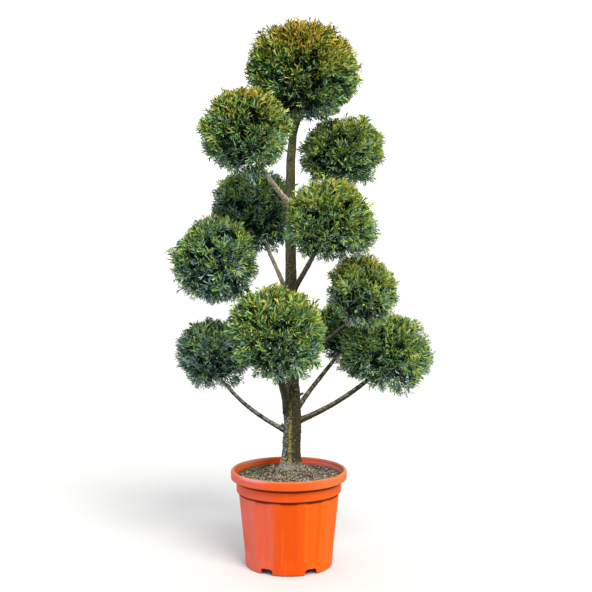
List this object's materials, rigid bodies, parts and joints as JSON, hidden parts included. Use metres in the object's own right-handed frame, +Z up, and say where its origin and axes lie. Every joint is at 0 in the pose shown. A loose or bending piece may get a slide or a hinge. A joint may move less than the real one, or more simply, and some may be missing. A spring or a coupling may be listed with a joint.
{
  "type": "potted pom-pom conifer",
  "caption": "Clipped cypress trained as balls of foliage on bare boughs, in a round fluted nursery pot.",
  "frame": {"origin": "middle of the pot's underside, on the ground", "axes": "+Z up, the front of the plant along -Y, +X to the right seen from the front"},
  "size_m": [0.8008, 0.6861, 1.725],
  "materials": {
    "pot_plastic": "orange moulded plastic with a soft sheen",
    "compost": "bark chips and potting compost with moss",
    "bark": "grey-brown furrowed bark, partly green with algae",
    "foliage": "clipped sprays of scale leaves, amber at the tips and dark green below"
  },
  "bodies": {
    "root": {"pot": "pot_plastic", "compost": "compost", "trunk": "bark", "bough_upper_left": "bark", "bough_upper_right": "bark", "bough_mid_left_back": "bark", "bough_mid_right_front": "bark", "bough_left": "bark", "bough_right_upper": "bark", "bough_front": "bark", "bough_low_left": "bark", "bough_low_right": "bark", "bough_right_back": "bark", "foliage_top": "foliage", "foliage_upper_left": "foliage", "foliage_upper_right": "foliage", "foliage_mid_left_back": "foliage", "foliage_mid_right_front": "foliage", "foliage_left": "foliage", "foliage_right_upper": "foliage", "foliage_front": "foliage", "foliage_low_left": "foliage", "foliage_low_right": "foliage", "foliage_right_back": "foliage"}
  },
  "joints": []
}
